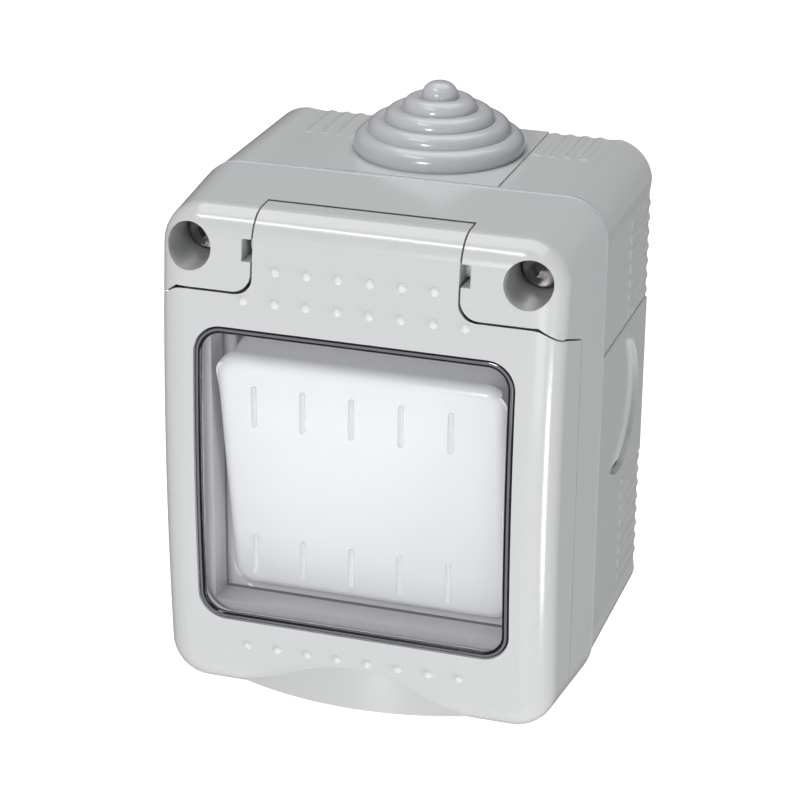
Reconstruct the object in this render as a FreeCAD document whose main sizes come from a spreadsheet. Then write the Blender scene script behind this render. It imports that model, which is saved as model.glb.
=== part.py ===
import FreeCAD, Part
import math
import os
from types import SimpleNamespace

import Sketcher

# Outdoor weatherproof switch for surface mounting, in millimetres.
# X runs to the right, Y towards the wall and Z up. The wall face is at Y = 0,
# so a depth is the distance in front of the wall and a height is above the box's middle.

DRIVING_SIZES = (
    ("frame_width", 66.3), ("frame_height", 82.4),
    ("front_width", 63.2), ("front_height", 79.9),
    ("corner_radius", 6.7), ("front_rounding", 5.0), ("crown_radius", 344.0),
    ("box_width", 65.6), ("box_height", 82.2), ("box_taper", 0.05),
    ("seam_depth", 31.0), ("ledge_depth", 42.8), ("deck_depth", 44.6), ("front_depth", 55.6),
    ("box_wall", 2.2), ("back_wall", 2.4), ("frame_wall", 2.2), ("lid_wall", 2.0), ("deck_wall", 2.0),
    ("pad_half_width", 14.2), ("pad_half_height", 13.7),
    ("panel_cut", 0.35), ("panel_margin", 0.5), ("panel_ramp", 3.0),
    ("grip_width", 1.6), ("grip_rise", 0.22), ("grip_length", 11.8), ("grip_pitch", 2.5),
    ("grip_count_top", 4.0), ("grip_count_upper", 7.0), ("grip_count_lower", 8.0),
    ("gasket_thickness", 1.4), ("gasket_width", 2.0), ("gasket_inset", 0.1), ("gasket_bead", 0.5),
    ("seam_edge_radius", 0.3),
    ("screw_spread", 26.6), ("screw_height", 34.3), ("screw_seat_depth", 43.2),
    ("lower_screw_spread", 25.0), ("lower_screw_drop", 32.8), ("lower_screw_seat_depth", 38.0),
    ("screw_well_radius", 3.7), ("screw_tube_wall", 1.4),
    ("screw_radius", 1.9), ("screw_hole_play", 0.3), ("screw_head_radius", 3.3), ("screw_head_height", 2.4),
    ("screw_end_depth", 14.0), ("boss_radius", 4.6),
    ("wall_hole_radius", 2.25), ("wall_hole_spacing_across", 32.0), ("wall_hole_spacing_up", 60.0),
    ("entry_radius", 10.2), ("entry_depth", 14.6), ("entry_across", 1.0),
    ("knockout_radius", 11.2), ("knockout_cut", 0.9), ("knockout_depth", 15.2), ("knockout_up", 0.9),
    ("knockout_slit_length", 3.6), ("knockout_slit_width", 1.0), ("knockout_slit_cut", 0.6),
    ("lid_gap", 0.3), ("lid_edge_gap", 0.3), ("lid_plate_depth", 51.6),
    ("post_inner_edge", 16.5), ("post_bottom", 28.1),
    ("post_corner_radius", 3.0), ("lid_corner_radius", 2.7), ("swing_clearance", 0.3),
    ("shoulder_turn", 28.5), ("shoulder_end", 31.7), ("shoulder_drop", 2.5),
    ("skirt_inner_edge", 30.2), ("skirt_front_depth", 50.5), ("skirt_drop", 2.7),
    ("hinge_depth", 48.9), ("hinge_height", 34.7), ("trunnion_radius", 1.7), ("trunnion_length", 1.3),
    ("notch_width", 1.45), ("bearing_clearance", 0.05), ("lug_radius", 3.3), ("lug_width", 3.0),
    ("tongue_end_depth", 46.4), ("tongue_wall", 2.0),
    ("window_width", 51.1), ("window_height", 49.75), ("window_centre", -2.46), ("window_radius", 4.5),
    ("membrane_thickness", 1.2), ("membrane_inset", 0.3), ("membrane_play", 0.1), ("rim_width", 1.1),
    ("rib_length", 6.8), ("rib_width", 1.0), ("rib_rise", 0.35), ("rib_pitch", 7.85),
    ("rib_row_offset", 12.5),
    ("flange_thickness", 1.2), ("retainer_wall", 1.8), ("retainer_end_depth", 45.6), ("lid_tube_wall", 1.4),
    ("seal_width", 1.8), ("seal_gap", 0.1),
    ("dot_radius", 0.75), ("dot_sink", 0.25), ("dot_pitch", 5.0),
    ("dot_row_top", 31.8), ("dot_row_middle", 26.85), ("dot_row_bottom", -31.6),
    ("dots_in_short_row", 6.0), ("dots_in_long_row", 8.0),
    ("lip_radius", 50.0), ("lip_bottom", -38.8), ("lip_depth", 56.4), ("lip_half_width", 21.0),
    ("lip_top", -31.5), ("lip_top_depth", 53.7), ("lip_top_half_width", 13.0),
    ("rocker_width", 44.6), ("rocker_height", 42.0), ("rocker_wall", 1.6), ("rocker_plate", 1.8),
    ("rocker_reach", 11.8), ("rocker_skirt_reach", 4.0), ("rocker_tilt", 10.0),
    ("rocker_side_gap", 0.4), ("rocker_swing_gap", 0.55), ("rocker_corner_radius", 3.0),
    ("rocker_edge_radius", 2.6), ("pivot_depth", 36.0), ("pivot_radius", 1.5), ("pivot_lug_radius", 4.0),
    ("opening_edge_radius", 0.9),
    ("hub_radius", 3.8), ("hub_reach", 3.0), ("plunger_radius", 2.0), ("plunger_play", 0.1),
    ("plunger_top_reach", 5.0), ("plunger_tip_reach", 8.0), ("spring_wire", 0.25), ("spring_pitch", 0.9),
    ("insert_half_width", 20.0), ("insert_half_height", 18.0), ("insert_back_depth", 13.0),
    ("insert_front_depth", 33.0), ("insert_wall", 1.6), ("insert_floor", 2.0),
    ("ear_half_width", 4.5), ("ear_end_depth", 38.6), ("tab_half_width", 5.0), ("tab_thickness", 3.0),
    ("tab_reach", 27.5), ("tab_screw_offset", 24.0), ("pillar_radius", 4.0),
    ("insert_screw_radius", 1.7), ("insert_screw_head_radius", 2.8), ("insert_screw_head_height", 2.0),
    ("insert_screw_end_depth", 20.0),
    ("bar_half_length", 15.0), ("bar_half_width", 4.0), ("bar_thickness", 1.6), ("bar_tilt", 8.0),
    ("bar_play", 0.2), ("fulcrum_gap", 0.05), ("fulcrum_thickness", 1.0),
    ("contact_offset", 12.0), ("contact_radius", 2.5), ("contact_thickness", 1.2), ("contact_gap", 0.05),
    ("strip_thickness", 1.0), ("strip_half_width", 2.5),
    ("clamp_spread", 11.0), ("clamp_offset", 12.0), ("clamp_half_width", 3.0), ("clamp_height", 7.0),
    ("wire_hole_radius", 1.5), ("wire_guide_radius", 1.8), ("clamp_screw_radius", 1.5),
    ("clamp_screw_head_radius", 2.5), ("clamp_screw_head_height", 1.8), ("clamp_screw_length", 4.0),
    ("grommet_base_radius", 13.75), ("grommet_second_radius", 11.75), ("grommet_third_radius", 9.1),
    ("grommet_top_radius", 6.3), ("grommet_nub_radius", 2.9), ("grommet_base_height", 3.1),
    ("grommet_step_height", 1.75), ("grommet_nub_height", 2.7), ("grommet_crease", 0.35),
    ("grommet_flange_radius", 12.0), ("grommet_flange_thickness", 1.3),
    ("grommet_wall", 1.3), ("grommet_play", 0.1),
    ("cut_margin", 12.0),
)


class Size:
    # A length that carries both its number and the formula that ties it to the sheet.
    def __init__(self, text, number):
        self.text = text
        self.number = number

    def __add__(self, other):
        return joined(self, "+", other)

    def __radd__(self, other):
        return joined(other, "+", self)

    def __sub__(self, other):
        return joined(self, "-", other)

    def __rsub__(self, other):
        return joined(other, "-", self)

    def __mul__(self, other):
        return joined(self, "*", other)

    def __rmul__(self, other):
        return joined(other, "*", self)

    def __truediv__(self, other):
        return joined(self, "/", other)

    def __neg__(self):
        return Size(f"(0 - {self.text})", -self.number)


def as_size(value):
    return value if isinstance(value, Size) else Size(repr(value), float(value))


def joined(left, sign, right):
    left = as_size(left)
    right = as_size(right)
    results = {
        "+": left.number + right.number,
        "-": left.number - right.number,
        "*": left.number * right.number,
        "/": left.number / right.number if right.number else 0.0,
    }
    return Size(f"({left.text} {sign} {right.text})", results[sign])


def root(size):
    return Size(f"sqrt({size.text})", math.sqrt(size.number))


doc = FreeCAD.newDocument("weatherproof_switch")
sheet = doc.addObject("Spreadsheet::Sheet", "Sizes")
for row, (alias, number) in enumerate(DRIVING_SIZES, 1):
    sheet.set(f"A{row}", alias)
    sheet.set(f"B{row}", str(number))
    sheet.setAlias(f"B{row}", alias)
doc.recompute()
s = SimpleNamespace(**{alias: Size(f"Sizes.{alias}", number) for alias, number in DRIVING_SIZES})


def bind(item, name, size):
    size = as_size(size)
    setattr(item, name, size.number)
    if "Sizes." in size.text:
        item.setExpression(name, size.text)


def new_body(label):
    body = doc.addObject("PartDesign::Body", label)
    body.Label = label
    return body


def origin_feature(body, role):
    return next(item for item in body.Origin.OriginFeatures if item.Role == role)


# A front sketch lies across the depth, a side sketch across the width and a level sketch across the height.
PLANES = {"front": "XZ_Plane", "side": "YZ_Plane", "level": "XY_Plane"}


def new_sketch(body, plane, offset=0):
    sketch = body.newObject("Sketcher::SketchObject", f"{body.Name}_sketch")
    sketch.AttachmentSupport = (origin_feature(body, PLANES[plane]), [""])
    sketch.MapMode = "FlatFace"
    offset = as_size(offset)
    sketch.AttachmentOffset = FreeCAD.Placement(FreeCAD.Vector(0, 0, offset.number), FreeCAD.Rotation())
    if "Sizes." in offset.text:
        sketch.setExpression("AttachmentOffset.Base.z", offset.text)
    return sketch


def constrain(sketch, kind, where, size):
    size = as_size(size)
    index = sketch.addConstraint(Sketcher.Constraint(kind, *where, size.number))
    if "Sizes." in size.text:
        sketch.setExpression(f"Constraints[{index}]", size.text)


def place_point(sketch, edge, end, across, along):
    for kind, axis, size in (("DistanceX", -2, as_size(across)), ("DistanceY", -1, as_size(along))):
        if size.text in ("0", "0.0"):
            sketch.addConstraint(Sketcher.Constraint("PointOnObject", edge, end, axis))
        else:
            constrain(sketch, kind, (-1, 1, edge, end), size)


def arc_between(start, end, radius, left):
    # The centre lies to the left or the right of the straight way from start to end.
    middle = (start + end) * 0.5
    way = end - start
    rise = math.sqrt(max(radius ** 2 - (way.Length / 2) ** 2, 0))
    across = FreeCAD.Vector(-way.y, way.x, 0).normalize() * (rise if left else -rise)
    centre = middle + across
    angles = [math.atan2(point.y - centre.y, point.x - centre.x) for point in (start, end)]
    if not left:
        angles.reverse()
    circle = Part.Circle(centre, FreeCAD.Vector(0, 0, 1), radius)
    return Part.ArcOfCircle(circle, angles[0], angles[1])


def outline(sketch, corners):
    # Each corner is (across, along), and (across, along, radius, left) where an arc leads to the next one.
    # An arc without a radius is a half circle.
    points = [FreeCAD.Vector(as_size(c[0]).number, as_size(c[1]).number, 0) for c in corners]
    edges = []
    for index, corner in enumerate(corners):
        here = points[index]
        there = points[(index + 1) % len(points)]
        if len(corner) == 2:
            edges.append((sketch.addGeometry(Part.LineSegment(here, there), False), 1, 2))
            continue
        half_chord = (there - here).Length / 2
        radius = half_chord if corner[2] is None else as_size(corner[2]).number
        arc = arc_between(here, there, radius, corner[3])
        starts, ends = (1, 2) if corner[3] else (2, 1)
        edges.append((sketch.addGeometry(arc, False), starts, ends))
    for index, (edge, starts, ends) in enumerate(edges):
        following = edges[(index + 1) % len(edges)]
        sketch.addConstraint(Sketcher.Constraint("Coincident", edge, ends, following[0], following[1]))
    for (edge, starts, ends), corner in zip(edges, corners):
        place_point(sketch, edge, starts, corner[0], corner[1])
        if len(corner) == 4 and corner[2] is None:
            sketch.addConstraint(Sketcher.Constraint("Symmetric", edge, 1, edge, 2, edge, 3))
        elif len(corner) == 4:
            constrain(sketch, "Radius", (edge,), corner[2])


def rectangle(sketch, left, right, low, high):
    outline(sketch, [(left, low), (right, low), (right, high), (left, high)])


def rounded_rectangle(sketch, half_width, half_height, radius):
    across = half_width - radius
    up = half_height - radius
    outline(sketch, [
        (-across, -half_height),
        (across, -half_height, radius, True),
        (half_width, -up),
        (half_width, up, radius, True),
        (across, half_height),
        (-across, half_height, radius, True),
        (-half_width, up),
        (-half_width, -up, radius, True),
    ])


def circle(sketch, across, along, radius):
    radius = as_size(radius)
    centre = FreeCAD.Vector(as_size(across).number, as_size(along).number, 0)
    edge = sketch.addGeometry(Part.Circle(centre, FreeCAD.Vector(0, 0, 1), radius.number), False)
    place_point(sketch, edge, 3, across, along)
    constrain(sketch, "Radius", (edge,), radius)


def pad(body, sketch, length, back=False, both=False):
    feature = body.newObject("PartDesign::Pad", f"{body.Name}_pad")
    feature.Profile = sketch
    bind(feature, "Length", length)
    feature.Reversed = back
    if both:
        feature.SideType = "Symmetric"
    return feature


def cut(body, sketch, length=None, ahead=False, both=False):
    doc.recompute()
    before = body.Shape.Volume
    feature = body.newObject("PartDesign::Pocket", f"{body.Name}_cut")
    feature.Profile = sketch
    if length is None:
        feature.Type = "ThroughAll"
    else:
        bind(feature, "Length", length)
    feature.Reversed = ahead
    if both:
        feature.SideType = "Symmetric"
    doc.recompute()
    if not feature.Shape.Volume < before:
        raise RuntimeError(f"{feature.Name} on {body.Label} removes nothing")
    return feature


def round_edges(body, radius, chosen):
    doc.recompute()
    base = body.Tip
    names = [f"Edge{n}" for n, edge in enumerate(base.Shape.Edges, 1) if chosen(edge)]
    if not names:
        raise RuntimeError(f"no edge to round on {body.Label}")
    feature = body.newObject("PartDesign::Fillet", f"{body.Name}_round")
    feature.Base = (base, names)
    bind(feature, "Radius", radius)
    doc.recompute()
    if not feature.isValid():
        raise RuntimeError(f"{feature.Name} on {body.Label} cannot round its edges")
    return feature


def pattern(body, feature, axis, length, count):
    repeat = body.newObject("PartDesign::LinearPattern", f"{body.Name}_row")
    repeat.Originals = [feature]
    repeat.Direction = (origin_feature(body, axis), [""])
    bind(repeat, "Length", length)
    repeat.Occurrences = int(round(count.number))
    body.Tip = repeat
    return repeat


def along_depth(edge):
    box = edge.BoundBox
    return box.YLength > 2 * max(box.XLength, box.ZLength)


def at_corner(edge, half_width, half_height):
    centre = edge.BoundBox.Center
    return along_depth(edge) and abs(centre.x) > half_width and abs(centre.z) > half_height


# Both front pieces are cut from one outer form, which narrows from the seam towards the crowned front.
side_slope = (s.frame_width - s.front_width) / 2 / (s.front_depth - s.seam_depth)
end_slope = (s.frame_height - s.front_height) / 2 / (s.front_depth - s.seam_depth)
frame_back = s.seam_depth + s.gasket_thickness / 2
box_rim = s.seam_depth - s.gasket_thickness / 2
window_half_width = s.window_width / 2
window_half_height = s.window_height / 2
deck_back = s.deck_depth - s.deck_wall
lid_post_edge = s.post_inner_edge - s.lid_gap
lid_shoulder = s.post_bottom - s.lid_gap
shoulder_side = s.post_bottom - s.shoulder_drop
skirt_bottom = shoulder_side - s.skirt_drop
far_across = s.frame_width / 2 + s.cut_margin
far_up = s.frame_height / 2 + s.cut_margin
far_front = s.front_depth + s.cut_margin
SIDES = (-1, 1)


def half_width_at(depth):
    return s.frame_width / 2 - (depth - s.seam_depth) * side_slope


def half_height_at(depth):
    return s.frame_height / 2 - (depth - s.seam_depth) * end_slope


def crown_depth(height, inset=0):
    # Depth of the crowned front at a height, or of a surface set in behind it.
    radius = s.crown_radius - inset
    rise = as_size(height) - s.window_centre
    return s.front_depth - s.crown_radius + root(radius * radius - rise * rise)


def wedge(body, low, high, low_half, high_half):
    form = body.newObject("PartDesign::AdditiveWedge", f"{body.Name}_form")
    bind(form, "Ymin", -high)
    bind(form, "Ymax", -low)
    for name, half in (("X", high_half[0]), ("Z", high_half[1])):
        bind(form, f"{name}min", -half)
        bind(form, f"{name}max", half)
    for name, half in (("X2", low_half[0]), ("Z2", low_half[1])):
        bind(form, f"{name}min", -half)
        bind(form, f"{name}max", half)
    doc.recompute()
    return form


def outer_form(body, start):
    wedge(body, start, s.front_depth,
          (half_width_at(start), half_height_at(start)),
          (s.front_width / 2, s.front_height / 2))
    crown = new_sketch(body, "side")
    outline(crown, [
        (-crown_depth(-far_up), -far_up, s.crown_radius, False),
        (-crown_depth(far_up), far_up),
        (-far_front, far_up),
        (-far_front, -far_up),
    ])
    cut(body, crown, s.frame_width + s.cut_margin, both=True)
    inner_width = s.front_width.number / 2 - s.corner_radius.number
    inner_height = s.front_height.number / 2 - s.corner_radius.number
    round_edges(body, s.corner_radius, lambda edge: at_corner(edge, inner_width, inner_height))
    front = min(body.Tip.Shape.Faces, key=lambda face: face.CenterOfMass.y)
    round_edges(body, s.front_rounding, lambda edge: any(edge.isSame(other) for other in front.Edges))


def hinge_circle(body, offset, radius):
    sketch = new_sketch(body, "side", offset)
    circle(sketch, -s.hinge_depth, s.hinge_height, radius)
    return sketch


# The post's lower front edge is what the lid's shoulder has to pass when it swings.
def post_sweep(height):
    ahead = crown_depth(height) - s.hinge_depth
    below = s.hinge_height - height
    return root(ahead * ahead + below * below) + s.swing_clearance


tongue_top = half_height_at(s.tongue_end_depth)
tongue_behind = s.hinge_depth - s.tongue_end_depth
tongue_above = tongue_top - s.hinge_height
trough_radius = root(tongue_behind * tongue_behind + tongue_above * tongue_above) + s.swing_clearance

rocker_half_width = s.rocker_width / 2
rocker_half_height = s.rocker_height / 2
opening_half_width = rocker_half_width + s.rocker_side_gap
tilt = math.radians(s.rocker_tilt.number)
rocker_rise = rocker_half_height * math.cos(tilt) + s.rocker_reach * math.sin(tilt)
opening_half_height = rocker_rise + s.rocker_swing_gap
upper_screws = [(side * s.screw_spread, s.screw_height) for side in SIDES]
lower_screws = [(side * s.lower_screw_spread, -s.lower_screw_drop) for side in SIDES]
screw_places = upper_screws + lower_screws
screw_groups = [(upper_screws, s.screw_seat_depth), (lower_screws, s.lower_screw_seat_depth)]
tab_places = [s.window_centre + side * s.tab_screw_offset for side in SIDES]


def build_back_box():
    body = new_body("back_box")
    half_width = s.box_width / 2
    half_height = s.box_height / 2
    wedge(body, as_size(0), box_rim,
          (half_width - s.box_taper, half_height - s.box_taper),
          (half_width, half_height))
    inner = (half_width.number - s.corner_radius.number, half_height.number - s.corner_radius.number)
    round_edges(body, s.corner_radius, lambda edge: at_corner(edge, *inner))
    cut_panels(body, half_width, half_height)
    hollow = new_sketch(body, "front", box_rim)
    inner_width = half_width - s.box_wall
    inner_height = half_height - s.box_wall
    rounded_rectangle(hollow, inner_width, inner_height, s.corner_radius - s.box_wall)
    cut(body, hollow, box_rim - s.back_wall)
    bosses = new_sketch(body, "front", s.back_wall)
    for across, up in screw_places:
        circle(bosses, across, up, s.boss_radius)
    pad(body, bosses, box_rim - s.back_wall)
    pillars = new_sketch(body, "front", s.back_wall)
    for up in tab_places:
        circle(pillars, 0, up, s.pillar_radius)
    pad(body, pillars, s.insert_front_depth - s.tab_thickness - s.back_wall)
    pilots = new_sketch(body, "front", s.screw_end_depth)
    for across, up in screw_places:
        circle(pilots, across, up, s.screw_radius)
    cut(body, pilots, ahead=True)
    insert_pilots = new_sketch(body, "front", s.insert_screw_end_depth)
    for up in tab_places:
        circle(insert_pilots, 0, up, s.insert_screw_radius)
    cut(body, insert_pilots, ahead=True)
    fixings = new_sketch(body, "front", s.back_wall)
    for across in SIDES:
        for up in SIDES:
            circle(fixings, across * s.wall_hole_spacing_across / 2, up * s.wall_hole_spacing_up / 2,
                   s.wall_hole_radius)
    cut(body, fixings)
    entry = new_sketch(body, "level", far_up)
    circle(entry, s.entry_across, -s.entry_depth, s.entry_radius)
    cut(body, entry, far_up - inner_height + s.box_wall)
    cut_knockouts(body, half_width, half_height)
    add_grips(body, half_width, half_height)
    return body


def panel_profile(centre, half, side, count, surface):
    # A panel drops from the edge of the pad, runs under its ridges and rises gently to the corner.
    near = centre + side * half
    far = near + side * (s.grip_pitch * count + s.panel_margin)
    end = far + side * s.panel_ramp
    floor = surface - s.panel_cut
    outside = surface + s.cut_margin
    return [(near, floor), (far, floor), (end, surface), (end, outside), (near, outside)]


def cut_panels(body, half_width, half_height):
    # Shallow panels leave a pad in the middle of each side standing, level with the corners.
    panels = new_sketch(body, "front")
    for side in SIDES:
        along = panel_profile(s.entry_across, s.pad_half_width, side, s.grip_count_top, half_height)
        count = s.grip_count_upper if side > 0 else s.grip_count_lower
        upright = panel_profile(s.knockout_up, s.pad_half_height, side, count, half_width)
        for opposite in SIDES:
            outline(panels, [(across, opposite * out) for across, out in along])
            outline(panels, [(opposite * out, up) for up, out in upright])
    cut(body, panels, ahead=True)


def cut_knockouts(body, half_width, half_height):
    # A round blank on each side and underneath is thin enough to break out, with a slit at two ends.
    slit = s.knockout_radius - s.knockout_slit_width / 2
    for side in SIDES:
        blank = new_sketch(body, "side", side * half_width)
        circle(blank, -s.knockout_depth, s.knockout_up, s.knockout_radius)
        cut(body, blank, s.knockout_cut, ahead=side < 0)
        slits = new_sketch(body, "side", side * (half_width - s.knockout_cut))
        for end in SIDES:
            middle = s.knockout_up + end * slit
            rectangle(slits, -s.knockout_depth - s.knockout_slit_length / 2,
                      -s.knockout_depth + s.knockout_slit_length / 2,
                      middle - s.knockout_slit_width / 2, middle + s.knockout_slit_width / 2)
        cut(body, slits, s.knockout_slit_cut, ahead=side < 0)
    blank = new_sketch(body, "level", -half_height)
    circle(blank, s.entry_across, -s.knockout_depth, s.knockout_radius)
    cut(body, blank, s.knockout_cut, ahead=True)


def add_grips(body, half_width, half_height):
    # Low rounded ridges run forward from the wall edge in every panel.
    half = s.grip_width / 2
    crest = (half * half + s.grip_rise * s.grip_rise) / (s.grip_rise * 2)
    floor = half_height - s.panel_cut
    for side in SIDES:
        middle = s.entry_across + side * (s.pad_half_width + s.grip_pitch / 2)
        ridge = new_sketch(body, "front")
        outline(ridge, [
            (middle + half, floor, crest, True),
            (middle - half, floor),
            (middle - half, floor - s.panel_cut),
            (middle + half, floor - s.panel_cut),
        ])
        repeat_grip(body, ridge, "X_Axis", "XY_Plane", s.grip_count_top, side)
    floor = half_width - s.panel_cut
    for side in SIDES:
        middle = s.knockout_up + side * (s.pad_half_height + s.grip_pitch / 2)
        ridge = new_sketch(body, "front")
        outline(ridge, [
            (floor, middle - half, crest, True),
            (floor, middle + half),
            (floor - s.panel_cut, middle + half),
            (floor - s.panel_cut, middle - half),
        ])
        count = s.grip_count_upper if side > 0 else s.grip_count_lower
        repeat_grip(body, ridge, "Z_Axis", "YZ_Plane", count, side)


def repeat_grip(body, sketch, axis, plane, count, side):
    # One ridge is repeated away from the pad, then mirrored to the opposite side of the box.
    ridge = pad(body, sketch, s.grip_length)
    doc.recompute()
    every = body.newObject("PartDesign::MultiTransform", "every_grip")
    every.Originals = [ridge]
    row = body.newObject("PartDesign::LinearPattern", "grip_row")
    row.Direction = (origin_feature(body, axis), [""])
    row.Reversed = side < 0
    bind(row, "Length", s.grip_pitch * (count - 1))
    row.Occurrences = int(round(count.number))
    opposite = body.newObject("PartDesign::Mirrored", "grip_mirror")
    opposite.MirrorPlane = (origin_feature(body, plane), [""])
    every.Transformations = [row, opposite]
    body.Tip = every
    doc.recompute()


def build_front_frame():
    body = new_body("front_frame")
    outer_form(body, frame_back)
    back = max(body.Tip.Shape.Faces, key=lambda face: face.CenterOfMass.y)
    round_edges(body, s.seam_edge_radius, lambda edge: any(edge.isSame(other) for other in back.Edges))
    clear_lid_space(body)
    cut_hinge(body)
    inside = new_sketch(body, "front", frame_back)
    inner_width = half_width_at(frame_back) - s.frame_wall
    inner_height = half_height_at(frame_back) - s.frame_wall
    rounded_rectangle(inside, inner_width, inner_height, s.corner_radius - s.frame_wall)
    cut(body, inside, deck_back - frame_back, ahead=True)
    # A thicker wall stands behind the hinge trough.
    behind = new_sketch(body, "front", s.hinge_depth - trough_radius - s.deck_wall)
    rectangle(behind, -s.post_inner_edge - s.frame_wall, s.post_inner_edge + s.frame_wall,
              s.hinge_height - trough_radius, inner_height + s.frame_wall / 2)
    pad(body, behind, deck_back - s.hinge_depth + trough_radius + s.deck_wall)
    tubes = new_sketch(body, "front", frame_back)
    for across, up in screw_places:
        circle(tubes, across, up, s.screw_well_radius + s.screw_tube_wall)
    pad(body, tubes, deck_back - frame_back)
    for places, seat in screw_groups:
        wells = new_sketch(body, "front", seat)
        for across, up in places:
            circle(wells, across, up, s.screw_well_radius)
        cut(body, wells, ahead=True)
        holes = new_sketch(body, "front", seat)
        for across, up in places:
            circle(holes, across, up, s.screw_radius + s.screw_hole_play)
        cut(body, holes)
    opening = new_sketch(body, "front", s.deck_depth)
    low = s.window_centre - opening_half_height
    high = s.window_centre + opening_half_height
    rectangle(opening, -opening_half_width, opening_half_width, low, high)
    cut(body, opening, s.deck_wall)

    def round_opening_corner(edge):
        centre = edge.BoundBox.Center
        across = abs(abs(centre.x) - opening_half_width.number) < 0.01
        upright = min(abs(centre.z - low.number), abs(centre.z - high.number)) < 0.01
        return along_depth(edge) and across and upright

    round_edges(body, s.rocker_corner_radius, round_opening_corner)

    def round_opening_rim(edge):
        box = edge.BoundBox
        level = abs(box.YMin + s.deck_depth.number) < 0.01 and box.YLength < 0.01
        across = max(abs(box.XMin), abs(box.XMax)) < opening_half_width.number + 0.01
        upright = box.ZMin > low.number - 0.01 and box.ZMax < high.number + 0.01
        return level and across and upright

    round_edges(body, s.opening_edge_radius, round_opening_rim)
    return body


def clear_lid_space(body):
    # The lid's room is everything in front of the deck apart from the two posts.
    space = new_sketch(body, "front", s.deck_depth)
    slope = s.shoulder_drop / (s.shoulder_end - s.shoulder_turn)
    skirt_top = s.post_bottom - (s.skirt_inner_edge - s.shoulder_turn) * slope
    right = [
        (far_across, -far_up), (far_across, skirt_bottom), (s.skirt_inner_edge, skirt_bottom),
        (s.skirt_inner_edge, skirt_top), (s.shoulder_turn, s.post_bottom),
        (s.post_inner_edge, s.post_bottom), (s.post_inner_edge, s.hinge_height),
    ]
    left = [(-across, up) for across, up in reversed(right)]
    outline(space, right + left)
    cut(body, space, ahead=True)
    front = new_sketch(body, "front", s.skirt_front_depth)
    for side in SIDES:
        outline(front, [
            (side * s.shoulder_turn, s.post_bottom),
            (side * s.shoulder_end, shoulder_side),
            (side * far_across, shoulder_side),
            (side * far_across, -far_up),
            (side * s.shoulder_turn, -far_up),
        ])
    cut(body, front, ahead=True)
    for side in SIDES:
        slant = new_sketch(body, "side", side * s.skirt_inner_edge)
        outline(slant, [
            (-s.ledge_depth, skirt_bottom),
            (-s.skirt_front_depth, shoulder_side),
            (-far_front, shoulder_side),
            (-far_front, -far_up),
            (-s.ledge_depth, -far_up),
        ])
        cut(body, slant, ahead=side > 0)
    ledge = new_sketch(body, "front", s.ledge_depth)
    step_across = half_width_at(s.lid_plate_depth) - s.lid_wall - s.lid_gap
    step_down = half_height_at(s.lid_plate_depth) - s.lid_wall - s.lid_gap
    outline(ledge, [
        (far_across, -far_up), (far_across, skirt_bottom),
        (s.skirt_inner_edge, skirt_bottom), (s.skirt_inner_edge, skirt_top),
        (step_across, skirt_top), (step_across, -step_down),
        (-step_across, -step_down), (-step_across, skirt_top),
        (-s.skirt_inner_edge, skirt_top), (-s.skirt_inner_edge, skirt_bottom),
        (-far_across, skirt_bottom), (-far_across, -far_up),
    ])
    cut(body, ledge, s.deck_depth - s.ledge_depth, ahead=True)

    def post_corner(edge):
        centre = edge.BoundBox.Center
        across = abs(abs(centre.x) - s.post_inner_edge.number) < 0.01
        return along_depth(edge) and across and abs(centre.z - s.post_bottom.number) < 0.01

    round_edges(body, s.post_corner_radius, post_corner)


def cut_hinge(body):
    # The tongue turns in a round trough between the posts, its trunnions in slots open to the front.
    width = s.post_inner_edge * 2
    cut(body, hinge_circle(body, 0, trough_radius), width, both=True)
    seat = s.trunnion_radius + s.bearing_clearance
    for side in SIDES:
        slot = new_sketch(body, "side", side * s.post_inner_edge)
        outline(slot, [
            (-s.hinge_depth, s.hinge_height + seat),
            (-far_front, s.hinge_height + seat),
            (-far_front, s.hinge_height - seat),
            (-s.hinge_depth, s.hinge_height - seat, None, True),
        ])
        cut(body, slot, s.notch_width, ahead=side > 0)


def build_housing_gasket():
    body = new_body("housing_gasket")
    ring = new_sketch(body, "front", box_rim)
    outer_width = s.frame_width / 2 - s.gasket_inset
    outer_height = s.frame_height / 2 - s.gasket_inset
    rectangle(ring, -outer_width, outer_width, -outer_height, outer_height)
    pad(body, ring, s.gasket_thickness)
    limits = (outer_width.number - s.corner_radius.number, outer_height.number - s.corner_radius.number)
    round_edges(body, s.corner_radius - s.gasket_inset, lambda edge: at_corner_of_sheet(edge, limits))
    middle = new_sketch(body, "front", box_rim)
    inner_width = outer_width - s.gasket_width
    inner_height = outer_height - s.gasket_width
    rectangle(middle, -inner_width, inner_width, -inner_height, inner_height)
    cut(body, middle, ahead=True)
    inner_limits = (inner_width.number - 0.01, inner_height.number - 0.01)
    least = outer_width.number - s.corner_radius.number
    round_edges(body, s.corner_radius - s.gasket_inset - s.gasket_width,
                lambda edge: at_corner_of_sheet(edge, inner_limits, least))

    def outer_edge(edge):
        box = edge.BoundBox
        across = max(abs(box.XMin), abs(box.XMax)) - inner_width.number
        upright = max(abs(box.ZMin), abs(box.ZMax)) - inner_height.number
        return box.YLength < 0.01 and max(across, upright) > s.gasket_width.number / 2

    round_edges(body, s.gasket_bead, outer_edge)
    return body


def at_corner_of_sheet(edge, limits, least=0):
    centre = edge.BoundBox.Center
    return along_depth(edge) and abs(centre.x) > max(limits[0], least) and abs(centre.z) > limits[1]


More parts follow.
